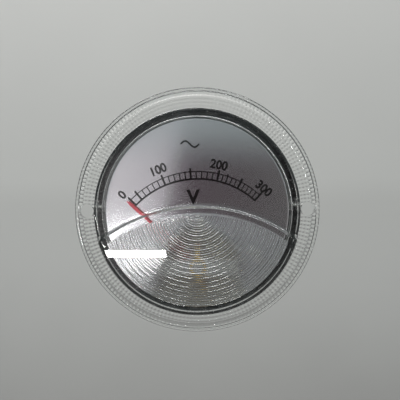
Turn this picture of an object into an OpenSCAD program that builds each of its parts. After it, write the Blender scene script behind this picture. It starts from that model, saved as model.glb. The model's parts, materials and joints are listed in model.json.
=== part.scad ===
// Round flush-mounting moving-iron voltmeter with an 80 mm clear flange.
// The dial faces -Y and +Z is up. The origin is the middle of the flange's back
// face, which rests on the panel. Each sub-part is drawn in the dial's own frame
// (x to the right, y up, z out of the panel) and on_panel() turns it into place.
// Angles on the dial are clockwise from the top, seen from the front.

/* [Cover] */
// Diameter of the flange
flange_d = 80; // [79:0.5:84]
// Thickness of the flange
flange_t = 3; // [2.6:0.1:3.2]
// Diameter of the drum at its front
drum_d = 65.4; // [65.2:0.1:66]
// Thickness of the drum's wall
drum_wall = 2.5; // [2.3:0.1:2.6]
// Height of the upper window's front face above the panel
window_h = 11; // [11:0.1:13]
// Thickness of the window
window_t = 2; // [1.6:0.1:2.2]
// Height of the ribbed lower part above the window
lower_rise = 2; // [2:0.1:3]
// Radius of the curved ledge between the window and the lower part
ledge_r = 50.8; // [46:0.1:56]
// Height of the ledge's middle above the centre
ledge_top = 1.4; // [1:0.1:2]
// Width of the ledge's wall
ledge_w = 2.6; // [2:0.1:3]
// Pitch of the round ribs inside the lower part
rib_pitch = 1.5; // [1.2:0.1:2]
// Depth of the round ribs
rib_depth = 0.45; // [0.3:0.05:0.45]
// Distance between the two panel screw holes
hole_spacing = 72.4; // [72:0.1:73]
// Diameter of the panel screw holes
hole_d = 4.6; // [4:0.1:4.8]

/* [Housing] */
// Diameter of the rim that fits the panel cut-out
rim_d = 65; // [64.8:0.1:65]
// Diameter of the barrel behind the rim
barrel_d = 62.8; // [62.6:0.1:63.2]
// Depth of the barrel behind the panel
barrel_depth = 28; // [28:0.5:34]
// Thickness of the barrel's wall and back
barrel_wall = 1.8; // [1.6:0.1:1.8]

/* [Dial and pointer] */
// Diameter of the dial plate
dial_d = 59.4; // [59:0.1:59.6]
// Distance of the pointer's pivot below the centre
pivot_drop = 17.7; // [17.6:0.1:17.9]
// Length of the pointer from its pivot
pointer_len = 30.8; // [28:0.1:31]
// Angle of the resting pointer to the left of the top
rest_angle = 47; // [46:0.5:48]
// Travel of the pointer past its zero, to the stop
travel = 92; // [90:1:92]

/* [Coil] */
// Outside diameter of the winding
winding_d = 21.4; // [18:0.1:21.6]
// Diameter of the bobbin's bore
bobbin_bore = 10; // [10:0.1:11]
// Length of the bobbin
bobbin_len = 14; // [13:0.5:14]

/* [Terminals] */
// Thread diameter of the terminal studs
stud_d = 4; // [3.5:0.5:4]
// Distance between the terminal studs
stud_spacing = 28; // [26:0.5:30]
// Length of the studs behind the barrel
stud_len = 13; // [13:0.5:18]

/* [Hidden] */
$fn = 64;
eps = 0.01;

// Cover and housing
flange_r = flange_d / 2;
drum_r = drum_d / 2;
drum_inner_r = drum_r - drum_wall;
rim_r = rim_d / 2;
rim_gap = 0.15;
rim_top = 1.2;
rim_bottom = -6;
barrel_r = barrel_d / 2;
cavity_r = barrel_r - barrel_wall;
barrel_back = -barrel_depth;
cavity_back = barrel_back + barrel_wall;
window_back = window_h - window_t;
lower_front = window_h + lower_rise;
lower_back = lower_front - window_t;
key_x = (drum_inner_r + rim_r) / 2;
key_y = 1.6;
key_w = 3.4;
key_back = -2;
cover_screw_r = 0.7;
cover_head_r = 1.5;

// Dial
dial_r = dial_d / 2;
dial_back = 3;
dial_t = 0.5;
dial_front = dial_back + dial_t;
notch_r = 13.5;
dial_screw_x = 17.5;
dial_screw_y = -13.5;
dial_screw_r = 1;

// Movement plate and what stands on it
plate_front = -8;
plate_t = 1;
plate_back = plate_front - plate_t;
post_places = [[-22.5, -13], [22.5, -13], [0, 12]];
post_r = 2.6;
post_screw_r = 1.2;

// Coil
bobbin_front = plate_front + 1;
bobbin_flange_t = 1;
bobbin_flange_r = 11.8;
bobbin_back = bobbin_front - bobbin_len;
bobbin_bore_r = bobbin_bore / 2;
bobbin_tube_r = bobbin_bore_r + 0.8;
winding_r = winding_d / 2;
coil_hole_r = 11.2;

// Damping chamber
chamber_in = 13;
chamber_out = 24;
chamber_wall = 0.7;
chamber_top = -2;
chamber_floor_t = 0.5;
chamber_start = -rest_angle - 13;
chamber_end = travel - rest_angle + 11.5;
vane_arm_z = -5.4;

// Front of the spindle
bridge_half_span = 12.6;
bridge_w = 5;
bridge_t = 0.8;
bridge_back = 8;
bridge_front = bridge_back + bridge_t;
bridge_screw_x = 15;
bridge_screw_r = 1;
bearing_r = 1.4;
bearing_gap = 0.05;
bearing_mouth = 7.5;
bearing_proud = 0.1;
lock_nut_af = 3.6;
zero_arm_back = bridge_front + 0.05;
zero_arm_t = 0.4;
zero_ring_r = 2.6;
nut_back = zero_arm_back + zero_arm_t + 0.05;
nut_front = nut_back + 0.75;
spring_back = 6.8;
spring_h = 0.4;
spring_in = 0.95;
spring_out = 3.9;

// Rear of the spindle
rear_bridge_t = 1;
rear_bridge_back = bobbin_back - rear_bridge_t;
rear_bearing_front = bobbin_back + 1.2;
rear_nut_back = rear_bridge_back - 1.2;
rear_bridge_len = 22;
peg_x = 8.6;
peg_r = 0.8;

// Moving parts
spindle_r = 0.45;
spindle_front = 8.05;
spindle_back = rear_bearing_front - 0.55;
point_len = 0.75;
point_r = 0.06;
pointer_z = 5.85;
pointer_t = 0.3;
stop_radius = 14;
stop_r = 0.5;
stop_margin = 3.4;
zero_range = 5;
low_overrun = 2;
arm_r = 0.3;
arm_z = 5;
arm_start = 1.56;
weight_r = 1.3;
weight_in = 5.33;
weight_out = 6.83;
weight_angle = 150;

// Terminals
stud_r = stud_d / 2;
stud_x = stud_spacing / 2;
stud_y = 6;
nut_t = 3.2;
nut_af = 7;
washer_t = 0.8;
washer_r = 4.4;
spring_washer_t = 1;
tag_t = 0.4;
stud_head_t = 2.4;
pilot_r = stud_r - 0.2;
pilot_len = 3;
pilot_chamfer = 0.4;
first_nut_back = barrel_back - washer_t - nut_t;
second_washer_back = first_nut_back - washer_t;
second_nut_front = second_washer_back - spring_washer_t;

// Series resistor and the leads
resistor_y = 17;
resistor_z = cavity_back + 3.4;
resistor_half = 5;
lead_r = 0.3;

module on_panel() {
    rotate([90, 0, 0]) children();
}

module at_pivot() {
    on_panel() translate([0, -pivot_drop, 0]) children();
}

// Turns a shape drawn pointing up so that it lies along the resting pointer.
module with_pointer() {
    at_pivot() rotate([0, 0, rest_angle]) children();
}

module disc(r, z0, z1) {
    translate([0, 0, z0]) cylinder(r = r, h = z1 - z0);
}

module ring(r0, r1, z0, z1) {
    difference() {
        disc(r1, z0, z1);
        disc(r0, z0 - 1, z1 + 1);
    }
}

// A block centred on x and y between two heights.
module block(size_x, size_y, z0, z1) {
    translate([-size_x / 2, -size_y / 2, z0]) cube([size_x, size_y, z1 - z0]);
}

// A curved wall between two clockwise angles.
module arc_wall(r0, r1, z0, z1, a0, a1) {
    rotate([0, 0, 90 - a1])
        rotate_extrude(angle = a1 - a0)
            translate([r0, z0]) square([r1 - r0, z1 - z0]);
}

module hex_nut(across, r, z0, z1) {
    difference() {
        translate([0, 0, z0])
            cylinder(r = across / 2 / cos(30), h = z1 - z0, $fn = 6);
        disc(r, z0 - 1, z1 + 1);
    }
}

// A slotted pan-head screw whose head's underside is at z0; it points to -z.
module slotted_screw(r, len, head_r, head_t, z0) {
    slot_w = head_r * 0.35;
    difference() {
        union() {
            disc(r, z0 - len, z0 + eps);
            disc(head_r, z0, z0 + head_t);
        }
        block(3 * head_r, slot_w, z0 + head_t * 0.55, z0 + head_t + 1);
    }
}

module both_sides(x, y) {
    for (side = [-1, 1])
        translate([side * x, y, 0]) children();
}

// Where two or more washers and nuts repeat on both studs.
module on_studs() {
    on_panel() both_sides(stud_x, stud_y) children();
}

// A smooth curve of points through a route's own points.
function smooth_route(route, steps) = [
    for (i = [0 : len(route) - 2])
        for (k = [0 : steps - 1])
            let (
                p0 = route[max(i - 1, 0)],
                p1 = route[i],
                p2 = route[i + 1],
                p3 = route[min(i + 2, len(route) - 1)],
                t = k / steps
            )
            0.5 * (2 * p1 + (p2 - p0) * t + (2 * p0 - 5 * p1 + 4 * p2 - p3) * t * t
                   + (3 * p1 - p0 - 3 * p2 + p3) * t * t * t),
    route[len(route) - 1]
];

function unit(v) = v / norm(v);

// A wire of 8 sides swept along a route.
module wire(route, r) {
    sides = 8;
    path = smooth_route(route, 6);
    last = len(path) - 1;
    points = [
        for (i = [0 : last])
            let (
                along = unit(path[min(i + 1, last)] - path[max(i - 1, 0)]),
                across = unit(cross(along, [0.3, 0.2, 1])),
                up = cross(across, along)
            )
            for (k = [0 : sides - 1])
                path[i] + r * (cos(k * 360 / sides) * across + sin(k * 360 / sides) * up)
    ];
    walls = [
        for (i = [0 : last - 1])
            for (k = [0 : sides - 1])
                let (a = i * sides, b = a + sides, n = (k + 1) % sides)
                [a + n, b + n, b + k, a + k]
    ];
    start_cap = [[for (k = [sides - 1 : -1 : 0]) k]];
    end_cap = [[for (k = [0 : sides - 1]) last * sides + k]];
    polyhedron(points, concat(start_cap, walls, end_cap));
}

// Section of the flange, drum and window, from the flange's bore outwards.
module cover_section() {
    ridge_in = flange_r - 2.7;
    ridge_out = flange_r - 1.2;
    ridge_h = 0.4;
    dip = 0.3;
    polygon([
        [rim_r + rim_gap, 0],
        [flange_r - 0.3, 0],
        [flange_r, 0.3],
        [flange_r, flange_t - 0.9],
        [flange_r - 0.6, flange_t - dip],
        [ridge_out, flange_t - dip],
        [ridge_out - 0.3, flange_t + ridge_h],
        [ridge_in + 0.3, flange_t + ridge_h],
        [ridge_in, flange_t - dip],
        [ridge_in - 0.7, flange_t - dip],
        [ridge_in - 1, flange_t],
        [drum_r + 1, flange_t],
        [drum_r + 0.3, flange_t + 0.6],
        [drum_r, window_h - 0.4],
        [drum_r - 0.4, window_h],
        [0, window_h],
        [0, window_back],
        [drum_inner_r, window_back],
        [drum_inner_r, rim_top],
        [rim_r + rim_gap, rim_top]
    ]);
}

// Everything below the curved ledge, inset by a distance.
module below_ledge(r, inset, z0, z1) {
    intersection() {
        disc(r, z0, z1);
        translate([0, ledge_top - ledge_r - inset, 0])
            disc(ledge_r, z0 - 1, z1 + 1);
    }
}

// The round ribs: one saw-edged section spun about the centre.
module round_ribs() {
    count = floor((drum_inner_r - 0.4) / rib_pitch);
    first = drum_inner_r - count * rib_pitch;
    teeth = [
        for (i = [0 : count - 1])
            for (p = [[0, 0], [0.5, 1]])
                [first + (i + p[0]) * rib_pitch, lower_back - p[1] * rib_depth]
    ];
    rotate_extrude()
        polygon(concat(
            [[first, lower_back + 0.2]],
            teeth,
            [[drum_inner_r, lower_back], [drum_inner_r, lower_back + 0.2]]
        ));
}

module front_cover() {
    color([0.86, 0.9, 0.89, 0.4]) on_panel() difference() {
        union() {
            difference() {
                union() {
                    rotate_extrude() cover_section();
                    below_ledge(drum_r, 0, window_back + 0.5, lower_front);
                }
                below_ledge(drum_inner_r, ledge_w, 0, lower_back);
            }
            intersection() {
                round_ribs();
                below_ledge(drum_inner_r + 1, ledge_w - 0.2, 0, lower_front - 0.5);
            }
            both_sides(key_x, key_y)
                block(rim_r - drum_inner_r - 0.2, key_w, key_back + 0.1, rim_top + 0.5);
        }
        both_sides(hole_spacing / 2, 0) disc(hole_d / 2, -1, flange_t + 2);
        both_sides(key_x, key_y) disc(cover_screw_r, key_back - 1, rim_top + 1);
    }
}

module housing() {
    boss_x = 29.2;
    boss_size = [4, 6];
    color([0.07, 0.07, 0.075]) on_panel() difference() {
        union() {
            difference() {
                union() {
                    disc(rim_r, rim_bottom, rim_top);
                    disc(barrel_r, barrel_back, rim_bottom + eps);
                }
                disc(cavity_r, cavity_back, rim_top + 1);
            }
            intersection() {
                both_sides(boss_x, key_y)
                    block(boss_size[0], boss_size[1], cavity_back - eps, rim_top - 0.4);
                disc(barrel_r, barrel_back, rim_top);
            }
            for (p = post_places)
                translate([p[0], p[1], 0]) disc(post_r, cavity_back - eps, plate_back);
        }
        both_sides(key_x, key_y) {
            block(4, key_w + 0.3, key_back, rim_top + 1);
            disc(cover_screw_r + 0.05, rim_bottom - 1, key_back + eps);
            disc(cover_head_r + 0.3, barrel_back - 1, rim_bottom);
        }
        for (p = post_places)
            translate([p[0], p[1], 0])
                disc(post_screw_r, plate_back - 8, plate_back + 1);
        both_sides(stud_x, stud_y) disc(stud_r, barrel_back - 1, cavity_back + 1);
    }
}

// Two screws from behind hold the cover's keys to the housing's rim.
module cover_screws() {
    color([0.75, 0.75, 0.72]) on_panel() both_sides(key_x, key_y)
        mirror([0, 0, 1])
            slotted_screw(cover_screw_r, 6.4, cover_head_r, 1.1, -rim_bottom);
}

module dial_plate() {
    color([0.72, 0.72, 0.74]) on_panel() difference() {
        disc(dial_r, dial_back, dial_front);
        translate([0, -pivot_drop, 0]) {
            disc(notch_r, 0, dial_front + 1);
            translate([-notch_r, -dial_r, 0])
                cube([2 * notch_r, dial_r, dial_front + 1]);
        }
        both_sides(dial_screw_x, dial_screw_y) disc(dial_screw_r, 0, dial_front + 1);
    }
}

module dial_screws() {
    color([0.8, 0.79, 0.75]) on_panel() both_sides(dial_screw_x, dial_screw_y)
        slotted_screw(dial_screw_r, 4.5, 1.9, 0.9, dial_front);
}

module dial_pillars() {
    color([0.72, 0.6, 0.3]) on_panel() both_sides(dial_screw_x, dial_screw_y)
        ring(dial_screw_r, 1.9, plate_front, dial_back);
}

// Two sleeved pins stop the pointer just past each end of its travel.
module pointer_stops() {
    low = -rest_angle - low_overrun - zero_range - stop_margin;
    high = travel - rest_angle + zero_range + stop_margin;
    color([0.12, 0.12, 0.12]) at_pivot()
        for (a = [low, high])
            rotate([0, 0, -a]) translate([0, stop_radius, 0])
                disc(stop_r, dial_front, pointer_z + 1.4);
}

module movement_plate() {
    half_x = 26;
    low_y = -26;
    high_y = 18;
    color([0.66, 0.66, 0.62]) on_panel() difference() {
        intersection() {
            disc(cavity_r - 1.2, plate_back, plate_front);
            translate([-half_x, low_y, plate_back - 1])
                cube([2 * half_x, high_y - low_y, plate_t + 2]);
        }
        translate([0, -pivot_drop, 0]) disc(coil_hole_r, plate_back - 1, plate_front + 1);
        for (p = post_places)
            translate([p[0], p[1], 0]) disc(post_screw_r, plate_back - 1, plate_front + 1);
        both_sides(bridge_screw_x, -pivot_drop)
            disc(bridge_screw_r, plate_back - 1, plate_front + 1);
    }
}

module movement_screws() {
    color([0.8, 0.79, 0.75]) on_panel()
        for (p = post_places)
            translate([p[0], p[1], 0]) slotted_screw(post_screw_r, 8, 2.1, 1.3, plate_front);
}

module coil_bobbin() {
    color([0.82, 0.76, 0.6]) at_pivot() {
        difference() {
            union() {
                disc(bobbin_flange_r, bobbin_front - bobbin_flange_t, bobbin_front);
                disc(bobbin_flange_r, bobbin_back, bobbin_back + bobbin_flange_t);
                disc(bobbin_tube_r, bobbin_back, bobbin_front);
            }
            disc(bobbin_bore_r, bobbin_back - 1, bobbin_front + 1);
        }
        both_sides(peg_x, 0) disc(peg_r, rear_bridge_back - 0.5, bobbin_back + eps);
    }
}

module coil_winding() {
    color([0.72, 0.38, 0.16]) at_pivot()
        ring(bobbin_tube_r, winding_r - 0.25,
             bobbin_back + bobbin_flange_t, bobbin_front - bobbin_flange_t);
}

module coil_tape() {
    color([0.75, 0.62, 0.25]) at_pivot()
        ring(winding_r - 0.25, winding_r,
             bobbin_back + bobbin_flange_t + 0.2, bobbin_front - bobbin_flange_t - 0.2);
}

// The fixed iron lines part of the bobbin's bore.
module fixed_iron() {
    iron_t = 0.6;
    glue_t = 0.03;
    color([0.45, 0.45, 0.46]) at_pivot()
        arc_wall(bobbin_bore_r - iron_t - glue_t, bobbin_bore_r - glue_t,
                 bobbin_back + 2, bobbin_front - 2, 120 - rest_angle, 230 - rest_angle);
}

// An air-damping chamber, open at the front, with a low inner wall under the
// vane's arm.
module damping_chamber() {
    end_wall_a = 2;
    from = chamber_start + end_wall_a;
    to = chamber_end - end_wall_a;
    color([0.85, 0.84, 0.78]) at_pivot() difference() {
        arc_wall(chamber_in, chamber_out, plate_front, chamber_top,
                 chamber_start, chamber_end);
        arc_wall(chamber_in + chamber_wall, chamber_out - chamber_wall,
                 plate_front + chamber_floor_t, chamber_top + 1, from, to);
        arc_wall(chamber_in - 1, chamber_in + chamber_wall + 1,
                 vane_arm_z - 0.5, chamber_top + 1, from, to);
    }
}

module damping_lid() {
    color([0.7, 0.7, 0.72]) at_pivot()
        arc_wall(chamber_in, chamber_out, chamber_top, chamber_top + 0.4,
                 chamber_start, chamber_end);
}

// A bent strip that carries the front bearing over the pointer.
module front_bridge() {
    foot_len = 4.6;
    color([0.75, 0.62, 0.3]) at_pivot() difference() {
        union() {
            block(2 * bridge_half_span, bridge_w, bridge_back, bridge_front);
            for (side = [0, 1]) mirror([side, 0, 0])
                translate([bridge_half_span - bridge_t / 2, 0, 0]) {
                    block(bridge_t, bridge_w, plate_front, bridge_front);
                    translate([foot_len / 2 - bridge_t / 2, 0, 0])
                        block(foot_len, bridge_w, plate_front, plate_front + bridge_t);
                }
        }
        disc(bearing_r, 0, bridge_front + 1);
        both_sides(bridge_screw_x, 0) disc(bridge_screw_r, plate_front - 1, 0);
    }
}

module bridge_screws() {
    color([0.8, 0.79, 0.75]) at_pivot() both_sides(bridge_screw_x, 0)
        slotted_screw(bridge_screw_r, 2.6, 1.7, 1, plate_front + bridge_t);
}

// A hollow-ended screw holds a jewel, whose cup takes the spindle's point.
module bearing_screw(mouth, tail) {
    slot_w = 0.5;
    difference() {
        disc(bearing_r, mouth, tail);
        disc(bearing_r / 2, mouth - 1, mouth + 1.1);
        block(4, slot_w, tail - 0.4, tail + 1);
    }
}

module jewel(mouth) {
    cup_depth = 0.65;
    difference() {
        disc(bearing_r / 2, mouth + 0.1, mouth + 1.1);
        translate([0, 0, mouth + 0.1 - eps])
            cylinder(r1 = 0.45, r2 = 0.02, h = cup_depth);
    }
}

module front_bearing_screw() {
    color([0.76, 0.64, 0.32]) at_pivot() bearing_screw(bearing_mouth, nut_front + bearing_proud);
}

module front_jewel() {
    color([0.7, 0.12, 0.2]) at_pivot() jewel(bearing_mouth);
}

module front_lock_nut() {
    color([0.76, 0.64, 0.32]) at_pivot() hex_nut(lock_nut_af, bearing_r, nut_back, nut_front);
}

module rear_bridge() {
    color([0.75, 0.62, 0.3]) at_pivot() difference() {
        block(rear_bridge_len, bridge_w, rear_bridge_back, bobbin_back);
        disc(bearing_r, rear_bridge_back - 1, bobbin_back + 1);
        both_sides(peg_x, 0) disc(peg_r, rear_bridge_back - 1, bobbin_back + 1);
    }
}

module rear_bearing_screw() {
    color([0.76, 0.64, 0.32]) at_pivot() mirror([0, 0, 1])
        bearing_screw(-rear_bearing_front, -rear_nut_back + 2 * bearing_proud);
}

module rear_jewel() {
    color([0.7, 0.12, 0.2]) at_pivot() mirror([0, 0, 1]) jewel(-rear_bearing_front);
}

module rear_lock_nut() {
    color([0.76, 0.64, 0.32]) at_pivot()
        hex_nut(lock_nut_af, bearing_r, rear_nut_back, rear_bridge_back);
}

// A stud clamped through the back, with a plain pilot beyond its thread.
module terminal_stud(side) {
    head_back = cavity_back + tag_t;
    stud_back = barrel_back - stud_len;
    pilot_front = stud_back + pilot_chamfer + pilot_len;
    color([0.78, 0.66, 0.36]) on_panel() translate([side * stud_x, stud_y, 0]) {
        disc(stud_r, pilot_front + stud_r - pilot_r, head_back + eps);
        translate([0, 0, pilot_front])
            cylinder(r1 = pilot_r, r2 = stud_r, h = stud_r - pilot_r);
        disc(pilot_r, stud_back + pilot_chamfer, pilot_front);
        translate([0, 0, stud_back])
            cylinder(r1 = pilot_r - pilot_chamfer, r2 = pilot_r, h = pilot_chamfer);
        hex_nut(nut_af, 0.5, head_back, head_back + stud_head_t);
        disc(1, head_back, head_back + stud_head_t);
    }
}

module terminal_stud_left() {
    terminal_stud(-1);
}

module terminal_stud_right() {
    terminal_stud(1);
}

module stud_washers() {
    color([0.8, 0.8, 0.78]) on_studs()
        ring(stud_r, washer_r, barrel_back - washer_t, barrel_back);
}

module stud_nuts() {
    color([0.78, 0.66, 0.36]) on_studs()
        hex_nut(nut_af, stud_r, first_nut_back, first_nut_back + nut_t);
}

module terminal_washers() {
    color([0.8, 0.8, 0.78]) on_studs()
        ring(stud_r, washer_r, second_washer_back, first_nut_back);
}

module spring_washers() {
    split_w = 1;
    color([0.5, 0.5, 0.5]) on_studs() difference() {
        ring(stud_r, stud_r + 1.5, second_nut_front, second_washer_back);
        translate([0, stud_r + 1, 0])
            block(split_w, 3, second_nut_front - 1, second_washer_back + 1);
    }
}

module terminal_nuts() {
    color([0.78, 0.66, 0.36]) on_studs()
        hex_nut(nut_af, stud_r, second_nut_front - nut_t, second_nut_front);
}

// Solder tags lie under the studs' heads inside the barrel.
module solder_tags() {
    tail_len = 7;
    color([0.82, 0.82, 0.8]) on_studs() difference() {
        union() {
            disc(washer_r, cavity_back, cavity_back + tag_t);
            translate([0, tail_len / 2 + 2, 0])
                block(2.4, tail_len, cavity_back, cavity_back + tag_t);
        }
        disc(stud_r, cavity_back - 1, cavity_back + 1);
        translate([0, tail_len, 0]) disc(0.6, cavity_back - 1, cavity_back + 1);
    }
}

module series_resistor() {
    body_r = 1.7;
    cap_r = 2;
    cap_len = 1.6;
    color([0.55, 0.68, 0.6]) on_panel() translate([0, resistor_y, resistor_z])
        rotate([0, 90, 0]) {
            disc(body_r, -resistor_half, resistor_half);
            disc(cap_r, -resistor_half, cap_len - resistor_half);
            disc(cap_r, resistor_half - cap_len, resistor_half);
        }
}

// One lead runs from the winding to the left tag, and one through the resistor
// to the right tag.
module coil_leads() {
    tag_y = stud_y + 7;
    tag_z = cavity_back + tag_t + lead_r;
    coil_z = bobbin_back + bobbin_flange_t + lead_r + 0.1;
    coil_y = winding_r - pivot_drop + lead_r;
    color([0.7, 0.2, 0.12]) on_panel() {
        wire([
            [-4, coil_y, coil_z],
            [-8, coil_y + 4, coil_z],
            [-stud_x, tag_y - 2, tag_z + 3],
            [-stud_x, tag_y, tag_z]
        ], lead_r);
        wire([
            [4, coil_y, coil_z],
            [3, coil_y + 7, coil_z],
            [-resistor_half - 2.5, resistor_y - 3, resistor_z],
            [-resistor_half - 2.5, resistor_y, resistor_z],
            [-resistor_half, resistor_y, resistor_z]
        ], lead_r);
        wire([
            [resistor_half, resistor_y, resistor_z],
            [stud_x, resistor_y, resistor_z],
            [stud_x, tag_y + 0.4, tag_z + 0.4],
            [stud_x, tag_y, tag_z]
        ], lead_r);
    }
}

// The zero arm turns stiffly on the front bearing. Its tail bends back to hold
// the hairspring's outer end.
module zero_arm() {
    arm_w = 1.4;
    arm_len = 7.5;
    tail_in = spring_out + 0.12;
    tail_t = 0.5;
    fork_gap = 0.6;
    color([0.8, 0.68, 0.35]) at_pivot() difference() {
        union() {
            disc(zero_ring_r, zero_arm_back, zero_arm_back + zero_arm_t);
            translate([0, arm_len / 2, 0])
                block(arm_w, arm_len, zero_arm_back, zero_arm_back + zero_arm_t);
            translate([0, -(tail_in + tail_t) / 2, 0])
                block(arm_w, tail_in + tail_t, zero_arm_back, zero_arm_back + zero_arm_t);
            translate([0, -tail_in - tail_t / 2, 0])
                block(arm_w, tail_t, spring_back - 0.1, zero_arm_back + zero_arm_t);
        }
        disc(bearing_r + bearing_gap, 0, nut_front);
        translate([0, arm_len, 0]) block(fork_gap, 4, 0, nut_front);
    }
}

module spindle() {
    color([0.7, 0.7, 0.72]) at_pivot() {
        disc(spindle_r, spindle_back + point_len, spindle_front - point_len);
        translate([0, 0, spindle_front - point_len])
            cylinder(r1 = spindle_r, r2 = point_r, h = point_len);
        translate([0, 0, spindle_back])
            cylinder(r1 = point_r, r2 = spindle_r, h = point_len);
    }
}

module pointer() {
    shaft_half = 0.28;
    lance_half = 0.45;
    lance_start = pointer_len - 8;
    tip_start = pointer_len - 1.5;
    tip_half = 0.1;
    eye_r = 1.8;
    eye_hole_r = 1;
    right_edge = [
        [lance_half, 0],
        [lance_half, 4],
        [shaft_half, 6],
        [shaft_half, lance_start],
        [lance_half, lance_start + 0.6],
        [lance_half, tip_start],
        [tip_half, pointer_len]
    ];
    left_edge = [for (i = [len(right_edge) - 1 : -1 : 0]) [-right_edge[i][0], right_edge[i][1]]];
    color([0.78, 0.08, 0.1]) with_pointer() translate([0, 0, pointer_z])
        linear_extrude(pointer_t) difference() {
            union() {
                circle(r = eye_r);
                polygon(concat(right_edge, left_edge));
            }
            circle(r = eye_hole_r);
        }
}

module pointer_hub() {
    color([0.78, 0.66, 0.36]) with_pointer() difference() {
        union() {
            disc(1, 4.2, spring_back - 0.2);
            disc(1.6, 4.2, pointer_z);
        }
        disc(spindle_r, 0, spring_back);
    }
}

// Two threaded arms behind the hub carry the balance weights.
module balance_arms() {
    color([0.78, 0.66, 0.36]) with_pointer()
        for (a = [-weight_angle, weight_angle])
            rotate([0, 0, a]) translate([0, 0, arm_z]) rotate([-90, 0, 0])
                disc(arm_r, arm_start, weight_out + 0.6);
}

module balance_weights() {
    color([0.8, 0.7, 0.4]) with_pointer()
        for (a = [-weight_angle, weight_angle])
            rotate([0, 0, a]) translate([0, 0, arm_z]) rotate([-90, 0, 0])
                ring(arm_r, weight_r, weight_in, weight_out);
}

// The moving iron is a curved strip on a short web, opposite the pointer.
module moving_iron() {
    iron_r = bobbin_bore_r - 1.6;
    iron_t = 0.5;
    web_z = (bobbin_front + bobbin_back) / 2;
    color([0.5, 0.5, 0.52]) with_pointer() difference() {
        union() {
            arc_wall(iron_r, iron_r + iron_t, bobbin_back + 3, bobbin_front - 3, 145, 215);
            translate([0, -iron_r / 2, 0])
                block(1.2, iron_r + iron_t / 2, web_z - 0.5, web_z + 0.5);
            disc(1, web_z - 1, web_z + 1);
        }
        disc(spindle_r, bobbin_back, bobbin_front);
    }
}

module damping_vane() {
    vane_t = 0.2;
    arm_w = 1;
    vane_in = chamber_in + chamber_wall + 0.6;
    vane_out = chamber_out - chamber_wall - 0.5;
    color([0.78, 0.79, 0.8]) with_pointer() difference() {
        union() {
            disc(1.1, vane_arm_z, vane_arm_z + 1);
            translate([0, vane_out / 2, 0])
                block(arm_w, vane_out, vane_arm_z, vane_arm_z + vane_t);
            translate([0, (vane_in + vane_out) / 2, 0])
                block(vane_t, vane_out - vane_in,
                      plate_front + chamber_floor_t + 0.4, chamber_top - 0.4);
        }
        disc(spindle_r, plate_front, 0);
    }
}

module spring_collet() {
    color([0.8, 0.7, 0.4]) with_pointer()
        ring(spindle_r, spring_in - 0.1, spring_back - 0.1, spring_back + spring_h);
}

// A flat spiral from the collet out to the zero arm's tail.
module hairspring() {
    turns = 4;
    steps = 24 * turns;
    strip = 0.1;
    start = -180 - turns * 360;
    function at(i, side) =
        let (
            f = i / steps,
            a = start + f * turns * 360,
            r = spring_in - 0.05 + f * (spring_out - spring_in) + side * strip / 2
        ) [r * sin(a), r * cos(a)];
    color([0.82, 0.66, 0.3]) at_pivot() translate([0, 0, spring_back])
        linear_extrude(spring_h) polygon(concat(
            [for (i = [0 : steps]) at(i, 1)],
            [for (i = [steps : -1 : 0]) at(i, -1)]
        ));
}

front_cover();
housing();
cover_screws();
dial_plate();
dial_screws();
dial_pillars();
pointer_stops();
movement_plate();
movement_screws();
coil_bobbin();
coil_winding();
coil_tape();
fixed_iron();
damping_chamber();
damping_lid();
front_bridge();
bridge_screws();
front_bearing_screw();
front_jewel();
front_lock_nut();
rear_bridge();
rear_bearing_screw();
rear_jewel();
rear_lock_nut();
terminal_stud_left();
terminal_stud_right();
stud_washers();
stud_nuts();
terminal_washers();
spring_washers();
terminal_nuts();
solder_tags();
series_resistor();
coil_leads();
zero_arm();
spindle();
pointer();
pointer_hub();
balance_arms();
balance_weights();
moving_iron();
damping_vane();
spring_collet();
hairspring();
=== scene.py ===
import json
from math import atan2, cos, pi, radians, sin, sqrt

import bmesh
import bpy
from mathutils import Matrix, Quaternion, Vector


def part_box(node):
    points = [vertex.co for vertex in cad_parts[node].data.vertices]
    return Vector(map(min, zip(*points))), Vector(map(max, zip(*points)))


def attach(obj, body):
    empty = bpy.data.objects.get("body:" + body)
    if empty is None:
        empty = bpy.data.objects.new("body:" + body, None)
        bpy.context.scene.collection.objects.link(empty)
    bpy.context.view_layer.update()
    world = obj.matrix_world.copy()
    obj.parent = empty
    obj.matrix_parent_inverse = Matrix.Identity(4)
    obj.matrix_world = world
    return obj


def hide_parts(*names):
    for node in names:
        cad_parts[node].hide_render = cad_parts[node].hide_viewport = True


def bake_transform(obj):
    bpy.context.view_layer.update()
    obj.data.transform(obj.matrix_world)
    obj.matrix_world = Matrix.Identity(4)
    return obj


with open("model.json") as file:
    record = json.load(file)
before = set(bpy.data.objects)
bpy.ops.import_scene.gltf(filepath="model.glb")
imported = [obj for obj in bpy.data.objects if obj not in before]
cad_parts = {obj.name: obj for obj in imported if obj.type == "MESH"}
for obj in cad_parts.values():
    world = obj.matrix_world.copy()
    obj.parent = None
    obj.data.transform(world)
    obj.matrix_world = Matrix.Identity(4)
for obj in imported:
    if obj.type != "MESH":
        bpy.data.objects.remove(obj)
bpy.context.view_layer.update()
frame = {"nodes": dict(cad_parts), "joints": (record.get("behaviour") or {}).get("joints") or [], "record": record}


# ---------------------------------------------------------------- Housing
# The cup behind the panel: black phenolic, compression moulded in one piece.
# Its rim carries the clear cover, and its back carries the terminal studs.

# Shapes are drawn in the dial's own millimetres: x right, y up, z out of the panel.
MM = 0.001
TO_ROW = Matrix.Rotation(radians(90), 4, "X") @ Matrix.Scale(MM, 4)


def box_of(node):
    """Lowest and highest corner of a CAD node in the dial's own millimetres."""
    low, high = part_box(node)
    return (Vector((low.x, low.z, -high.y)) / MM, Vector((high.x, high.z, -low.y)) / MM)


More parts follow.
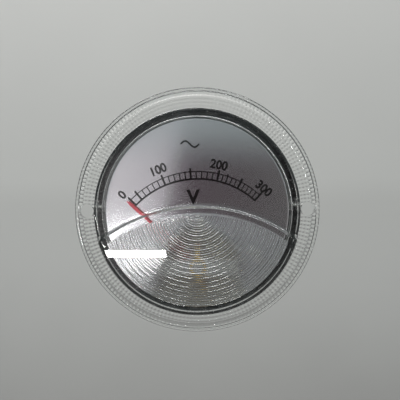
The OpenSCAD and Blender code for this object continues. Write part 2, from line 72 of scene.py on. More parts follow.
def rounded(corners, steps=4):
    """Points along an outline of (radius, height, fillet) corners."""
    points = []
    for i, (x, y, fillet) in enumerate(corners):
        corner = Vector((x, y))
        if not fillet:
            points.append(corner)
            continue
        before = Vector(corners[i - 1][:2]) - corner
        after = Vector(corners[(i + 1) % len(corners)][:2]) - corner
        reach = min(fillet, before.length * 0.48, after.length * 0.48)
        start = corner + before.normalized() * reach
        end = corner + after.normalized() * reach
        for k in range(steps + 1):
            t = k / steps
            points.append(start * (1 - t) ** 2 + corner * 2 * t * (1 - t) + end * t * t)
    return points


def lathe(bm, outline, steps=128, at=(0, 0)):
    """Spins an outline of (radius, height) points about a line along z.

    One sixteenth is spun, and copies of it close the circle.
    """
    verts = [bm.verts.new((p[0], 0, p[1])) for p in outline]
    pairs = [(v, verts[i - 1]) for i, v in enumerate(verts)]
    edges = [bm.edges.new((a, b)) for a, b in pairs if a.co.x > 0 or b.co.x > 0]
    bmesh.ops.spin(bm, geom=verts + edges, cent=(0, 0, 0), axis=(0, 0, 1),
                   angle=pi / 8, steps=steps // 16)
    turn = pi / 8
    while turn < 1.9 * pi:
        copied = bmesh.ops.duplicate(bm, geom=bm.verts[:] + bm.edges[:] + bm.faces[:])
        bmesh.ops.rotate(bm, cent=(0, 0, 0), matrix=Matrix.Rotation(turn, 3, "Z"),
                         verts=[v for v in copied["geom"] if isinstance(v, bmesh.types.BMVert)])
        turn *= 2
    bmesh.ops.remove_doubles(bm, verts=bm.verts, dist=1e-4)
    if any(at):
        # A slight turn keeps its edges off the edges of what it cuts.
        slight = Matrix.Rotation(0.03, 3, "Z")
        bmesh.ops.rotate(bm, cent=(0, 0, 0), matrix=slight, verts=bm.verts)
        bmesh.ops.translate(bm, vec=(*at, 0), verts=bm.verts)


def bar(bm, low, high):
    """A block between two corners."""
    middle = (Vector(low) + Vector(high)) / 2
    size = Vector(high) - Vector(low)
    place = Matrix.Translation(middle) @ Matrix.Diagonal((*size, 1))
    return bmesh.ops.create_cube(bm, size=1, matrix=place)["verts"]


def loose_object(bm, name):
    """Makes an object of a bmesh and frees it."""
    bmesh.ops.recalc_face_normals(bm, faces=bm.faces)
    mesh = bpy.data.meshes.new(name)
    bm.to_mesh(mesh)
    bm.free()
    made = bpy.data.objects.new(name, mesh)
    bpy.context.scene.collection.objects.link(made)
    return made


def combine(base, tool, operation):
    """Cuts, joins or intersects one loose object with another, which is used up."""
    step = base.modifiers.new("combine", "BOOLEAN")
    step.object = tool
    step.operation = operation
    step.solver = "EXACT"
    graph = bpy.context.evaluated_depsgraph_get()
    result = bpy.data.meshes.new_from_object(base.evaluated_get(graph))
    base.modifiers.clear()
    base.data = result
    bpy.data.objects.remove(tool)
    return base


def fit(made, body, finish, nodes=(), place=TO_ROW, sharp=35):
    """Places a finished piece, shades it and fixes it to its body."""
    made.data.transform(place)
    if place.determinant() < 0:
        made.data.flip_normals()
    made.data.shade_smooth()
    made.data.set_sharp_from_angle(angle=radians(sharp))
    made.modifiers.new("shade", "WEIGHTED_NORMAL").keep_sharp = True
    made.data.materials.clear()
    made.data.materials.append(finish)
    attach(made, body)
    if nodes:
        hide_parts(*nodes)
    return made


class Signal:
    """One output in a finish's node tree. Arithmetic on it adds Math nodes."""

    def __init__(self, tree, output=None):
        self.tree = tree
        self.output = output

    def node(self, kind, settings, inputs, output=0):
        """Adds a node: its settings first, then its sockets' values or links."""
        node = self.tree.nodes.new("ShaderNode" + kind)
        for name, value in settings.items():
            if name == "stops":
                for stop, (position, colour) in zip(ramp_stops(node, len(value)), value):
                    stop.position = position
                    stop.color = colour
            else:
                setattr(node, name, value)
        for name, value in inputs.items():
            if isinstance(value, Signal):
                self.tree.links.new(value.output, node.inputs[name])
            else:
                node.inputs[name].default_value = value
        return Signal(self.tree, node.outputs[output])

    def maths(self, operation, *values):
        """Adds a Math node."""
        return self.node("Math", {"operation": operation}, dict(enumerate(values)))

    def __add__(self, other):
        return self.maths("ADD", self, other)

    def __radd__(self, other):
        return self.maths("ADD", other, self)

    def __sub__(self, other):
        return self.maths("SUBTRACT", self, other)

    def __rsub__(self, other):
        return self.maths("SUBTRACT", other, self)

    def __mul__(self, other):
        return self.maths("MULTIPLY", self, other)

    def __rmul__(self, other):
        return self.maths("MULTIPLY", other, self)

    def __gt__(self, other):
        return self.maths("GREATER_THAN", self, other)

    def blend(self, first, second):
        """A colour between two, with this signal as the share of the second."""
        return self.node("Mix", {"data_type": "RGBA"}, {0: self, 6: first, 7: second}, 2)


def ramp_stops(node, count):
    """A ramp's stops, once there are enough of them."""
    stops = node.color_ramp.elements
    while len(stops) < count:
        stops.new(1)
    return stops


def grey(level):
    """A neutral colour."""
    return (level, level, level, 1)


def new_finish(name):
    """An empty material, and the signal that its nodes start from."""
    finish = bpy.data.materials.new(name)
    finish.use_nodes = True
    finish.node_tree.nodes.clear()
    return finish, Signal(finish.node_tree)


def show(finish, shader):
    """Joins a finished shader to the material's output."""
    end = finish.node_tree.nodes.new("ShaderNodeOutputMaterial")
    finish.node_tree.links.new(shader.output, end.inputs["Surface"])
    return finish


def grain(start, size, detail=3, stretch=(1, 1, 1)):
    """Noise with features of a size in millimetres, stretched along the row's axes."""
    place = start.node("TexCoord", {}, {}, "Object")
    if stretch != (1, 1, 1):
        place = start.node("Mapping", {}, {"Vector": place, "Scale": stretch})
    return start.node("TexNoise", {}, {"Vector": place, "Scale": 1 / (size * MM),
                                       "Detail": detail, "Roughness": 0.6})


def raised(start, height, depth, strength=1.0):
    """A bump of a depth in millimetres."""
    return start.node("Bump", {}, {"Height": height, "Distance": depth * MM,
                                   "Strength": strength}, "Normal")


def phenolic():
    """Black phenolic: half gloss, with fine filler specks and a moulded skin."""
    finish, start = new_finish("black_phenolic")
    specks = grain(start, 0.35, 2)
    skin = grain(start, 2.2, 4)
    colour = (specks > 0.64).blend(grey(0.007), (0.022, 0.02, 0.018, 1))
    return show(finish, start.node("BsdfPrincipled", {}, {
        "Base Color": colour, "Roughness": 0.3 + skin * 0.2, "Specular IOR Level": 0.4,
        "Normal": raised(start, skin + specks * 0.4, 0.03, 0.35)}))


BLACK_PHENOLIC = phenolic()

housing_low, housing_high = box_of("housing")
rim_r = housing_high.x
rim_top = housing_high.z
rim_bottom = -6
barrel_back = housing_low.z
barrel_r = rim_r - 1.1
cup_wall = 1.8
cavity_r = barrel_r - cup_wall
cavity_back = barrel_back + cup_wall
overlap = 0.5

bm = bmesh.new()
lathe(bm, rounded([
    (0, barrel_back, 0), (barrel_r, barrel_back, 0.8), (barrel_r + 0.05, rim_bottom, 0.15),
    (rim_r, rim_bottom, 0.35), (rim_r, rim_top, 0.2), (cavity_r, rim_top, 0.2),
    (cavity_r - 0.2, cavity_back, 0.8), (0, cavity_back, 0)]), 192)
housing = loose_object(bm, "housing_cup")

# Inside each end of the rim a boss takes one of the cover's keys in a notch, and
# a channel behind it lets that key's screw in.
key_x, key_y = 31.35, 1.6
boss_x, boss_len, boss_w = 29.25, 3.9, 6.0
notch_len, notch_w, notch_floor = 4.0, 3.7, -2.0
head_r, screw_r, channel_end = 1.8, 0.75, -1.0
for side in (-1, 1):
    bm = bmesh.new()
    bar(bm, (side * boss_x - boss_len / 2, key_y - boss_w / 2, cavity_back - overlap),
        (side * boss_x + boss_len / 2, key_y + boss_w / 2, rim_top - 0.4))
    housing = combine(housing, loose_object(bm, "boss"), "UNION")
    bm = bmesh.new()
    bar(bm, (side * key_x - notch_len / 2, key_y - notch_w / 2, notch_floor),
        (side * key_x + notch_len / 2, key_y + notch_w / 2, rim_top + 4))
    housing = combine(housing, loose_object(bm, "notch"), "DIFFERENCE")
    bm = bmesh.new()
    lathe(bm, [(0, barrel_back - 1), (head_r, barrel_back - 1), (head_r, rim_bottom),
               (screw_r, rim_bottom), (screw_r, channel_end), (0, channel_end)], 32,
          (side * key_x, key_y))
    housing = combine(housing, loose_object(bm, "channel"), "DIFFERENCE")

# Three tapered posts stand on the cup's floor for the movement plate.
post_root_r, post_r, post_top = 2.9, 2.55, -9.02
for x, y in ((-22.5, -13), (22.5, -13), (0, 12)):
    bm = bmesh.new()
    lathe(bm, [(0, cavity_back - overlap), (post_root_r, cavity_back - overlap),
               (post_r, post_top), (0, post_top)], 32, (x, y))
    housing = combine(housing, loose_object(bm, "post"), "UNION")
fit(housing, "base", BLACK_PHENOLIC, ["housing"])


# ---------------------------------------------------------------- Terminals
# Two brass studs clamp through the cup's back, each with plated washers and brass
# nuts. A tinned tag under each head takes a wire.

def metal(name, dark, light, rough, wear=0.18, grain_mm=0.5):
    """A bare or plated metal with cloudy wear and fine working marks."""
    finish, start = new_finish(name)
    marks = grain(start, grain_mm, 4)
    cloud = grain(start, 3.5, 2)
    return show(finish, start.node("BsdfPrincipled", {}, {
        "Base Color": (marks * 0.5 + cloud * 0.5).blend(dark, light), "Metallic": 1.0,
        "Roughness": rough + marks * wear, "Normal": raised(start, marks, 0.01, 0.4)}))


def round_edges(bm, width, segments=2, over=30):
    """Rounds the edges that turn through more than an angle."""
    sharp = [e for e in bm.edges if e.is_manifold and e.calc_face_angle() > radians(over)]
    bmesh.ops.bevel(bm, geom=sharp, offset=width, offset_type="OFFSET", affect="EDGES",
                    segments=segments, profile=0.5, material=-1, clamp_overlap=True)


body_of = {node: body for body, nodes in frame["record"]["behaviour"]["bodies"].items()
           for node in nodes}


def softened(node, finish, edge=0.0):
    """A copy of a CAD part with its sharp edges rounded, as they come off the press."""
    source = frame["nodes"][node]
    bm = bmesh.new()
    bm.from_mesh(source.data)
    bmesh.ops.transform(bm, matrix=TO_ROW.inverted() @ source.matrix_world, verts=bm.verts)
    bmesh.ops.remove_doubles(bm, verts=bm.verts, dist=1e-3)
    bmesh.ops.dissolve_limit(bm, angle_limit=radians(1), verts=bm.verts, edges=bm.edges)
    if edge:
        round_edges(bm, edge)
    return fit(loose_object(bm, node + "_soft"), body_of[node], finish, [node])


TURNED_BRASS = metal("turned_brass", (0.42, 0.27, 0.07, 1), (0.83, 0.62, 0.28, 1), 0.2)
ZINC_PLATE = metal("zinc_plate", (0.4, 0.4, 0.38, 1), (0.66, 0.66, 0.63, 1), 0.26)
SPRING_STEEL = metal("spring_steel", grey(0.1), grey(0.24), 0.3)
TINNED_METAL = metal("tinned_metal", (0.5, 0.5, 0.48, 1), (0.74, 0.74, 0.71, 1), 0.22)

for side_name in ("left", "right"):
    softened("terminal_stud_" + side_name, TURNED_BRASS, edge=0.12)
for place_name in ("stud", "terminal"):
    softened(place_name + "_nuts", TURNED_BRASS, edge=0.35)
    softened(place_name + "_washers", ZINC_PLATE, edge=0.12)
softened("spring_washers", SPRING_STEEL, edge=0.2)
softened("solder_tags", TINNED_METAL, edge=0.08)


# ---------------------------------------------------------------- Movement plate
# A stamped and plated steel plate on the cup's three posts, with a screw into
# each. The coil and the damping chamber are fixed to it.

softened("movement_plate", ZINC_PLATE, edge=0.1)
softened("movement_screws", ZINC_PLATE, edge=0.2)


# ---------------------------------------------------------------- Coil
# Enamelled copper wire wound on a nylon bobbin and bound with amber tape. The
# fixed iron is bent round inside its bore.

def plastic(name, dark, light, rough):
    """A moulded or lacquered surface with cloudy colour and a faint skin."""
    finish, start = new_finish(name)
    cloud = grain(start, 1.5, 3)
    return show(finish, start.node("BsdfPrincipled", {}, {
        "Base Color": cloud.blend(dark, light), "Roughness": rough + cloud * 0.15,
        "Normal": raised(start, cloud, 0.02, 0.3)}))


NATURAL_NYLON = plastic("natural_nylon", (0.5, 0.45, 0.32, 1), (0.7, 0.66, 0.52, 1), 0.35)
AMBER_TAPE = plastic("amber_tape", (0.5, 0.3, 0.05, 1), (0.68, 0.45, 0.1, 1), 0.15)
ENAMELLED_COPPER = metal("enamelled_copper", (0.4, 0.12, 0.03, 1), (0.75, 0.3, 0.1, 1), 0.2)
SOFT_IRON = metal("soft_iron", (0.16, 0.15, 0.15, 1), (0.32, 0.31, 0.31, 1), 0.42)

softened("coil_bobbin", NATURAL_NYLON, edge=0.15)
softened("coil_winding", ENAMELLED_COPPER, edge=0.1)
softened("coil_tape", AMBER_TAPE, edge=0.05)
softened("fixed_iron", SOFT_IRON, edge=0.08)


# ---------------------------------------------------------------- Series resistor and leads
# A lacquered wire-wound resistor drops the voltage for the coil. The leads are
# in red sleeving and are soldered to the tags.

RESISTOR_LACQUER = plastic("resistor_lacquer", (0.16, 0.3, 0.24, 1), (0.25, 0.42, 0.34, 1), 0.3)
RED_SLEEVE = plastic("red_sleeve", (0.35, 0.04, 0.02, 1), (0.5, 0.08, 0.04, 1), 0.4)

softened("series_resistor", RESISTOR_LACQUER, edge=0.3)
softened("coil_leads", RED_SLEEVE)


# ---------------------------------------------------------------- Damping chamber
# A moulded nylon trough, curved about the spindle. Its lid and the vane that swings
# in it are cut from thin rolled aluminium, like the dial.

def brushed_aluminium():
    """Bright rolled aluminium with fine brushing that changes its gloss."""
    finish, start = new_finish("dial_aluminium")
    brush = grain(start, 0.12, 3, (0.4, 1, 1))
    cloud = grain(start, 7, 2)
    colour = (brush * 0.6 + cloud * 0.4).blend((0.7, 0.69, 0.72, 1), (0.86, 0.84, 0.87, 1))
    return show(finish, start.node("BsdfPrincipled", {}, {
        "Base Color": colour, "Metallic": 1.0, "Roughness": 0.06 + brush * 0.08}))


def refinish(node, finish):
    """Gives a CAD part that keeps its own mesh its finish."""
    materials = frame["nodes"][node].data.materials
    materials.clear()
    materials.append(finish)


DIAL_ALUMINIUM = brushed_aluminium()

softened("damping_chamber", NATURAL_NYLON, edge=0.12)
refinish("damping_lid", DIAL_ALUMINIUM)
refinish("damping_vane", DIAL_ALUMINIUM)


# ---------------------------------------------------------------- Rear bearing
# A brass bridge behind the coil, with a jewelled screw that is set for end play
# and locked by a nut.

RUBY = plastic("ruby", (0.4, 0.01, 0.05, 1), (0.6, 0.03, 0.1, 1), 0.05)

softened("rear_bridge", TURNED_BRASS, edge=0.12)
softened("rear_bearing_screw", TURNED_BRASS, edge=0.1)
softened("rear_lock_nut", TURNED_BRASS, edge=0.15)
softened("rear_jewel", RUBY, edge=0.05)


# ---------------------------------------------------------------- Spindle
# A polished steel spindle with a point at each end. The brass hub, the balance
# arms and weights, the collet and the moving iron are pressed on to it.

POLISHED_STEEL = metal("polished_steel", grey(0.5), grey(0.66), 0.12, 0.08)

softened("spindle", POLISHED_STEEL)
softened("pointer_hub", TURNED_BRASS, edge=0.1)
softened("balance_arms", TURNED_BRASS)
softened("balance_weights", TURNED_BRASS, edge=0.15)
softened("spring_collet", TURNED_BRASS, edge=0.05)
softened("moving_iron", SOFT_IRON, edge=0.08)


# ---------------------------------------------------------------- Front bearing
# A nickel-plated brass bridge over the spindle's front end, on two screws. Its
# jewelled bearing screw is locked by a nut, like the rear one.

NICKEL_PLATE = metal("nickel_plate", (0.42, 0.42, 0.4, 1), (0.6, 0.59, 0.56, 1), 0.22)

softened("front_bridge", NICKEL_PLATE, edge=0.2)
softened("bridge_screws", ZINC_PLATE, edge=0.15)
softened("front_bearing_screw", NICKEL_PLATE, edge=0.1)
softened("front_lock_nut", NICKEL_PLATE, edge=0.15)
softened("front_jewel", RUBY, edge=0.05)


# ---------------------------------------------------------------- Zero arm
# A stamped brass arm that turns stiffly on the front bearing screw, under its lock
# nut. It sets where the pointer rests.

softened("zero_arm", TURNED_BRASS, edge=0.08)


# ---------------------------------------------------------------- Hairspring
# A spiral of thin phosphor-bronze strip. Its inner end turns with the spindle, and
# its outer end is pinned to the zero arm, a little further forward.

SPRING_BRONZE = metal("spring_bronze", (0.5, 0.3, 0.1, 1), (0.8, 0.55, 0.25, 1), 0.2)

pivot = Vector(frame["joints"][0]["pos_m"]) / MM
pivot_y = pivot.z
coil_turns, strip_w, strip_t = 4, 0.25, 0.06
inner_r, outer_r = 0.9, 4.0
inner_z, outer_z = 6.85, 7.5
bm = bmesh.new()
bmesh.ops.create_grid(bm, x_segments=60 * coil_turns, y_segments=1, size=1)
layer = bmesh.ops.extrude_face_region(bm, geom=bm.faces[:])
lifted = [v for v in layer["geom"] if isinstance(v, bmesh.types.BMVert)]
bmesh.ops.translate(bm, vec=(0, 0, 1), verts=lifted)
for v in bm.verts:
    share = (v.co.x + 1) / 2
    angle = pi + (1 - share) * coil_turns * 2 * pi
    r = inner_r + share * (outer_r - inner_r) + (v.co.z - 0.5) * strip_t
    z = inner_z + share * (outer_z - inner_z) + v.co.y * strip_w / 2
    v.co = (-r * sin(angle), pivot_y + r * cos(angle), z)
spring = loose_object(bm, "hairspring_coil")
spring.data.transform(TO_ROW)
spring.data.shade_smooth()
spring.data.set_sharp_from_angle(angle=radians(40))
spring.data.materials.append(SPRING_BRONZE)
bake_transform(spring)
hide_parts("hairspring")


# ---------------------------------------------------------------- Dial
# A disc of satin rolled aluminium with its printing in black ink, screwed to two
# brass pillars. Two sleeved pegs in it stop the pointer.

def printing_ink():
    """Matt black screen ink, a little uneven."""
    finish, start = new_finish("printing_ink")
    soak = grain(start, 0.4, 3)
    return show(finish, start.node("BsdfPrincipled", {}, {
        "Base Color": soak.blend(grey(0.002), grey(0.006)), "Roughness": 0.7 + soak * 0.2,
        "Specular IOR Level": 0.1}))


INK = printing_ink()
BLACK_SLEEVE = plastic("black_sleeve", grey(0.012), grey(0.03), 0.6)

refinish("dial_plate", DIAL_ALUMINIUM)
softened("dial_pillars", TURNED_BRASS, edge=0.1)
softened("dial_screws", ZINC_PLATE, edge=0.15)
softened("pointer_stops", BLACK_SLEEVE, edge=0.1)

# The scale's main marks are unevenly spaced, as a moving-iron meter's are.
dial_front = box_of("dial_plate")[1].z
ink_t = 0.02
mark_angles = [-45.4, -40.0, -21.6, -4.0, 13.4, 27.9, 42.0]
volts_a_mark = 50
full_scale = 300
middle_mark = 220
thick_arc_r, thick_arc_w = 27.9, 0.58
thin_arc_r, thin_arc_w = 30.3, 0.3
main_mark_end, main_mark_w = 31.5, 0.65
middle_mark_end, middle_mark_w = 31.0, 0.45
small_mark_w = 0.33


def scale_angle(volts):
    """Clockwise angle of a voltage, with even steps between the main marks."""
    i = min(int(volts // volts_a_mark), len(mark_angles) - 2)
    share = volts / volts_a_mark - i
    return mark_angles[i] * (1 - share) + mark_angles[i + 1] * share


def on_scale(radius, angle, height=0.0):
    """A place on the dial, by its radius and clockwise angle from the pivot."""
    return Vector((radius * sin(radians(angle)), pivot_y + radius * cos(radians(angle)), height))


def ink_arc(bm, radius, width, start, end, steps=96):
    """A printed arc, swept from one end to the other."""
    low = dial_front
    corners = [(radius - width / 2, low), (radius + width / 2, low),
               (radius + width / 2, low + ink_t), (radius - width / 2, low + ink_t)]
    verts = [bm.verts.new(on_scale(r, start, z)) for r, z in corners]
    face = bm.faces.new(verts)
    bmesh.ops.spin(bm, geom=[face, *face.edges, *verts], cent=(0, pivot_y, 0), axis=(0, 0, -1),
                   angle=radians(end - start), steps=steps, use_duplicate=False)


def ink_tick(bm, angle, inner, outer, width):
    """A printed mark along a radius."""
    verts = bar(bm, (-width / 2, inner, dial_front), (width / 2, outer, dial_front + ink_t))
    turn = Matrix.Translation((0, pivot_y, 0)) @ Matrix.Rotation(radians(-angle), 4, "Z")
    bmesh.ops.transform(bm, matrix=turn, verts=verts)


bm = bmesh.new()
ink_arc(bm, thick_arc_r, thick_arc_w, scale_angle(0), scale_angle(full_scale))
ink_arc(bm, thin_arc_r, thin_arc_w, scale_angle(0), scale_angle(full_scale))
# The crowded start of the scale has no small marks.
for volts in [0] + list(range(volts_a_mark, full_scale + 1, 10)):
    angle = scale_angle(volts)
    if volts % volts_a_mark == 0:
        ink_tick(bm, angle, thick_arc_r - 0.2, main_mark_end, main_mark_w)
    elif volts == middle_mark:
        ink_tick(bm, angle, thick_arc_r, middle_mark_end, middle_mark_w)
    else:
        ink_tick(bm, angle, thick_arc_r, thin_arc_r, small_mark_w)
fit(loose_object(bm, "scale_print"), "base", INK)


def lettering(name, text, size, place, stretch=1.0):
    """A printed numeral or sign, centred on a place."""
    curve = bpy.data.curves.new(name, "FONT")
    curve.body = text
    curve.align_x = "CENTER"
    curve.align_y = "CENTER"
    curve.size = size
    curve.offset = size * 0.034
    curve.extrude = ink_t / 2
    words = bpy.data.objects.new(name, curve)
    bpy.context.scene.collection.objects.link(words)
    graph = bpy.context.evaluated_depsgraph_get()
    mesh = bpy.data.meshes.new_from_object(words.evaluated_get(graph))
    bpy.data.objects.remove(words)
    middle_x = (min(v.co.x for v in mesh.vertices) + max(v.co.x for v in mesh.vertices)) / 2
    middle_y = (min(v.co.y for v in mesh.vertices) + max(v.co.y for v in mesh.vertices)) / 2
    mesh.transform(Matrix.Translation((-middle_x, -middle_y, 0)))
    mesh.transform(Matrix.Diagonal((stretch, 1, 1, 1)))
    mesh.transform(place)
    made = bpy.data.objects.new(name, mesh)
    bpy.context.scene.collection.objects.link(made)
    return fit(made, "base", INK)


ink_z = dial_front + ink_t / 2
numeral_size, numeral_stretch, letter_size = 4.0, 0.95, 6.2
# Each numeral's voltage, its radius, and its turn in degrees from its mark.
numerals = ((0, 33.5, -1.2), (100, 33.5, 0), (200, 33.2, -0.9), (300, 32.8, -0.6))
for volts, radius, shift in numerals:
    angle = scale_angle(volts) + shift
    turn = Matrix.Rotation(radians(-angle), 4, "Z")
    lettering(f"numeral_{volts}", str(volts), numeral_size,
              Matrix.Translation(on_scale(radius, angle, ink_z)) @ turn, numeral_stretch)
lettering("unit_letter", "V", letter_size, Matrix.Translation((-1.3, 4.4, ink_z)))

# A wave above the scale is the sign for alternating current.
wave_w, wave_h, line_w, wave_steps = 6.0, 1.0, 0.55, 32
wave_x, wave_y = -2.2, 21.5
bm = bmesh.new()
upper, lower = [], []
for i in range(wave_steps + 1):
    t = i / wave_steps
    x = (t - 0.5) * wave_w
    y = wave_h * sin(2 * pi * t)
    slope = wave_h * 2 * pi / wave_w * cos(2 * pi * t)
    across = Vector((-slope, 1)).normalized() * line_w / 2
    upper.append(bm.verts.new((x + across.x, y + across.y, 0)))
    lower.append(bm.verts.new((x - across.x, y - across.y, 0)))
edges = [bm.edges.new(pair) for row in (upper, lower) for pair in zip(row, row[1:])]
bmesh.ops.bridge_loops(bm, edges=edges)
layer = bmesh.ops.extrude_face_region(bm, geom=bm.faces[:])
moved = [v for v in layer["geom"] if isinstance(v, bmesh.types.BMVert)]
bmesh.ops.translate(bm, vec=(0, 0, ink_t), verts=moved)
bmesh.ops.translate(bm, vec=(wave_x, wave_y, dial_front), verts=bm.verts)
fit(loose_object(bm, "current_sign"), "base", INK)


# ---------------------------------------------------------------- Pointer
# A thin aluminium lance sprayed signal red, staked to the spindle's hub.

def red_paint():
    """Sprayed red enamel with a slight orange peel."""
    finish, start = new_finish("red_paint")
    coat = grain(start, 0.5, 3)
    return show(finish, start.node("BsdfPrincipled", {}, {
        "Base Color": coat.blend((0.62, 0.012, 0.03, 1), (0.8, 0.02, 0.05, 1)),
        "Roughness": 0.3 + coat * 0.15, "Coat Roughness": 0.2,
        "Normal": raised(start, coat, 0.01, 0.4)}))


RED_PAINT = red_paint()
refinish("pointer", RED_PAINT)


# ---------------------------------------------------------------- Front cover
# Clear polystyrene, injection moulded in one piece: the flange, the drum, the
# window and the lower part, whose inner face has round ribs. Two screws from
# behind hold it to the housing.

def clear_plastic():
    """Clear polystyrene. Lamps shine through it on to what it covers."""
    finish, start = new_finish("clear_polystyrene")
    scuffs = grain(start, 1.2, 4)
    glassy = start.node("BsdfPrincipled", {}, {
        "Base Color": (0.985, 0.99, 0.985, 1), "Roughness": 0.001 + scuffs * 0.006,
        "IOR": 1.59, "Transmission Weight": 1.0})
    open_way = start.node("BsdfTransparent", {}, {"Color": (0.93, 0.94, 0.935, 1)})
    lamp_ray = start.node("LightPath", {}, {}, "Is Shadow Ray")
    return show(finish, start.node("MixShader", {}, {0: lamp_ray, 1: glassy, 2: open_way}))


CLEAR_PLASTIC = clear_plastic()
cover_high = box_of("front_cover")[1]
flange_r = cover_high.x
flange_t = 3.0
lower_front = cover_high.z
ledge_h = 2.0
window_front = lower_front - ledge_h
window_t = 2.0
window_back = window_front - window_t
drum_r = 32.7
drum_inner = drum_r - 2.5
bore_r = rim_r + 0.15
ledge_r = 50.8
ledge_y = 1.4 - ledge_r
ledge_w = 2.6
rib_pitch = 1.5
rib_depth = 0.6
flange_ribs = 180
flange_rib_depth = 0.28
ring_pitch = 1.2
ridge_wave = 0.13
drum_taper = 0.12

# The plain moulding: flange, drum and window, with both reeded patterns.
back_points = []
r = bore_r + 0.4
while r < flange_r - 0.8:
    back_points.append((r, 0, 0))
    r += ring_pitch / 6
ridge_in = flange_r - 2.9
outline = rounded(
    [(bore_r, rim_top, 0.1), (bore_r, 0, 0.1)] + back_points + [
        (flange_r - 0.3, 0, 0), (flange_r, 0.4, 0), (flange_r, flange_t - 0.7, 0.3),
        (flange_r - 0.5, flange_t - 0.3, 0.2), (flange_r - 1.1, flange_t - 0.3, 0.3),
        (flange_r - 1.4, flange_t + 0.4, 0.35), (ridge_in + 0.5, flange_t + 0.4, 0.35),
        (ridge_in, flange_t, 0.3), (drum_r + drum_taper, flange_t - 0.3, 0.3),
        (drum_r, window_front, 0.9), (0, window_front, 0), (0, window_back, 0),
        (drum_inner, window_back, 0.25), (drum_inner, rim_top, 0)])
bm = bmesh.new()
lathe(bm, outline, flange_ribs * 4)
for v in bm.verts:
    r = sqrt(v.co.x ** 2 + v.co.y ** 2)
    if abs(v.co.z) < 0.01 and bore_r + 0.3 < r < flange_r - 0.7:
        reed = 0.5 + 0.5 * cos(flange_ribs * atan2(v.co.y, v.co.x))
        ring = 0.5 - 0.5 * cos(2 * pi * (r - bore_r) / ring_pitch)
        v.co.z += flange_rib_depth * (0.3 * reed + 0.7 * reed * ring)
    elif v.co.z > flange_t + 0.2 and ridge_in < r:
        v.co.z += ridge_wave * cos(flange_ribs * atan2(v.co.y, v.co.x))
cover = loose_object(bm, "clear_cover")
hole_x, hole_r = 36.2, 2.3
for side in (-1, 1):
    bm = bmesh.new()
    lathe(bm, [(0, -1), (hole_r, -1), (hole_r, flange_t + 1.5), (0, flange_t + 1.5)], 96,
          (side * hole_x, 0))
    cover = combine(cover, loose_object(bm, "screw_hole"), "DIFFERENCE")

# The lower part, raised in front of the window and bounded by the curved ledge.
lower_r = drum_r + 0.004
ledge_spread = 1.3
bm = bmesh.new()
lathe(bm, rounded([
    (0, window_front - 1, 0), (lower_r, window_front - 1, 0), (lower_r, lower_front, 1.3),
    (0, lower_front, 0)]), 256)
lower_part = loose_object(bm, "lower_part")
bm = bmesh.new()
lathe(bm, rounded([
    (0, window_front - 1.1, 0), (ledge_r + ledge_spread, window_front - 1.1, 0),
    (ledge_r + ledge_spread, window_front - 0.02, 0), (ledge_r, window_front + 0.1, 0.9),
    (ledge_r - 0.1, lower_front - 0.02, 0.3), (0, lower_front + 0.3, 0)], 6), 720, (0, ledge_y))
lower_part = combine(lower_part, loose_object(bm, "ledge"), "INTERSECT")
cover = combine(cover, lower_part, "UNION")

# The ribbed hollow behind it. Each rib is a broad round with a fine pair on it.
ribs = []
rib_steps = 16
rib_count = int(drum_inner // rib_pitch)
first = drum_inner - rib_count * rib_pitch
for i in range(rib_count * rib_steps):
    phase = i / rib_steps
    drop = rib_depth * (0.4 * abs(sin(pi * phase)) ** 0.6 + 0.6 * abs(sin(2 * pi * phase)) ** 0.8)
    ribs.append((first + phase * rib_pitch, lower_front - window_t - drop))
hollow_r = drum_inner - 0.005
hollow_top = lower_front - window_t
bm = bmesh.new()
lathe(bm, [(0, window_back - 0.5), (hollow_r, window_back - 0.5), (hollow_r, hollow_top)]
          + ribs[::-1] + [(0, hollow_top)], 192)
hollow = loose_object(bm, "hollow")
below, above = 5, 20
bm = bmesh.new()
lathe(bm, [(0, below), (ledge_r, below), (ledge_r, above), (0, above)], 720,
      (0, ledge_y - ledge_w))
hollow = combine(hollow, loose_object(bm, "ledge_back"), "INTERSECT")
cover = combine(cover, hollow, "DIFFERENCE")

# Keys that drop into the housing's notches, with their screws' blind holes.
key_len, key_w, key_end = 2.1, 3.4, -1.9
key_hole_r, key_hole_top, key_hole_tip = 0.7, 2.0, 2.5
for side in (-1, 1):
    bm = bmesh.new()
    bar(bm, (side * key_x - key_len / 2, key_y - key_w / 2, key_end),
        (side * key_x + key_len / 2, key_y + key_w / 2, rim_top + 0.6))
    cover = combine(cover, loose_object(bm, "key"), "UNION")
    bm = bmesh.new()
    lathe(bm, [(0, key_end - 1.1), (key_hole_r, key_end - 1.1), (key_hole_r, key_hole_top),
               (0, key_hole_tip)], 24, (side * key_x, key_y))
    cover = combine(cover, loose_object(bm, "key_hole"), "DIFFERENCE")
fit(cover, "base", CLEAR_PLASTIC, ["front_cover"], sharp=30)
softened("cover_screws", ZINC_PLATE, edge=0.15)


# ---------------------------------------------------------------- Stage
# A plain pale floor that sweeps up into a far backdrop, with painted shade that darkens it towards the floor.

def pale_paint():
    """Flat pale paint, with painted shade that darkens it towards the floor."""
    finish, start = new_finish("pale_sweep_with_painted_shade")
    cloud = grain(start, 300, 2)
    place = start.node("TexCoord", {}, {}, "Object")
    height = start.node("SeparateXYZ", {}, {"Vector": place}, "Z")
    # Painted shade: the colour grows darker from the dial's height down to the floor.
    low = start.node("MapRange", {}, {"Value": height, "From Min": -0.46, "From Max": 0.0})
    shade = (low * 0.9 + cloud * 0.1).blend((0.25, 0.242, 0.235, 1), (0.68, 0.67, 0.65, 1))
    return show(finish, start.node("BsdfPrincipled", {}, {
        "Base Color": shade, "Roughness": 0.9}))


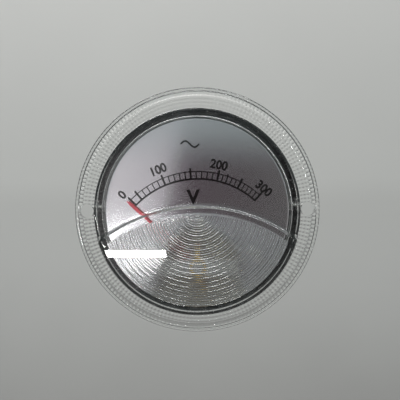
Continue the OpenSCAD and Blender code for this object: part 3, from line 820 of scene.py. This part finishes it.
floor_z, wall_y, front_y, wall_top, half_width, sweep_r = -0.45, 1.3, -2.5, 3.0, 3.0, 0.4
sweep_steps = 12
line = [(front_y, floor_z)]
for i in range(sweep_steps + 1):
    angle = pi / 2 * i / sweep_steps
    line.append((wall_y - sweep_r + sweep_r * sin(angle), floor_z + sweep_r - sweep_r * cos(angle)))
line.append((wall_y, wall_top))
bm = bmesh.new()
verts = [bm.verts.new((-half_width, y, z)) for y, z in line]
edges = [bm.edges.new(pair) for pair in zip(verts, verts[1:])]
pulled = bmesh.ops.extrude_edge_only(bm, edges=edges)
bmesh.ops.translate(bm, vec=(2 * half_width, 0, 0),
                    verts=[v for v in pulled["geom"] if isinstance(v, bmesh.types.BMVert)])
sweep = loose_object(bm, "sweep")
sweep.data.shade_smooth()
sweep.data.materials.append(pale_paint())


# ---------------------------------------------------------------- Light and camera
# One long lamp from the left, soft fill, and a camera in front of the dial.

def lamp(name, place, target, size, power):
    """A rectangular lamp at a place, turned to face a target."""
    data = bpy.data.lights.new(name, "AREA")
    data.shape = "RECTANGLE"
    data.size, data.size_y = size
    data.energy = power
    made = bpy.data.objects.new(name, data)
    bpy.context.scene.collection.objects.link(made)
    made.location = place
    made.rotation_euler = (Vector(target) - Vector(place)).to_track_quat("-Z", "Y").to_euler()


lamp("tube_lamp", (-0.76, -1.0, -0.1265), (-0.76, 0, -0.1265), (1.4, 0.013), 2.4)
lamp("sky_lamp", (0.2, -1.2, 1.6), (0, 0, 0), (1.5, 1.5), 3)
lamp("back_lamp", (-0.8, 0.9, 1.2), (0, 0.1, 0), (0.6, 0.6), 4)
lamp("wall_lamp", (0.0, 0.2, 1.9), (0, 1.3, 0.75), (2.0, 0.5), 25)

# The room is bright to the left, dark straight ahead of the dial and grey to the
# right, under a pale ceiling.
world = bpy.data.worlds.new("room")
world.use_nodes = True
room = Signal(world.node_tree)
way = room.node("TexCoord", {}, {}, "Generated")
across = room.node("SeparateXYZ", {}, {"Vector": way}, "X")
up = room.node("SeparateXYZ", {}, {"Vector": way}, "Z")
walls = room.node("ValToRGB", {"stops": [
    (0.0, (0.2, 0.21, 0.22, 1)), (0.3, (0.36, 0.38, 0.39, 1)), (0.44, (0.66, 0.64, 0.65, 1)),
    (0.488, (0.52, 0.5, 0.52, 1)), (0.499, (0.045, 0.025, 0.034, 1)), (0.6, (0.12, 0.12, 0.116, 1)),
    (0.72, (0.34, 0.34, 0.33, 1)), (1.0, (0.45, 0.45, 0.44, 1))]},
    {"Fac": across * 0.5 + 0.512 - 0.1 * up})
ceiling = room.node("MapRange", {}, {"Value": up, "From Min": 0.01, "From Max": 0.065,
                                     "To Max": 0.75})
shade = ceiling.blend(walls, (0.37, 0.43, 0.43, 1))
seen = room.node("LightPath", {}, {}, "Is Camera Ray")
sky = room.node("Background", {}, {"Color": seen.blend(shade, grey(0.42)), "Strength": 1.0})
world.node_tree.links.new(sky.output, world.node_tree.nodes["World Output"].inputs["Surface"])
bpy.context.scene.world = world

view_angle, camera_roll = 31, -0.6
camera_data = bpy.data.cameras.new("camera")
camera_data.angle = radians(view_angle)
camera = bpy.data.objects.new("camera", camera_data)
bpy.context.scene.collection.objects.link(camera)
camera.location = (0.0009, -0.238, 0.012)
aim = Vector((0.0009, 0, 0.0032))
towards = (aim - camera.location).to_track_quat("-Z", "Y")
camera.rotation_euler = (towards @ Quaternion((0, 0, 1), radians(camera_roll))).to_euler()
bpy.context.scene.camera = camera
bpy.context.scene.view_settings.view_transform = "Standard"
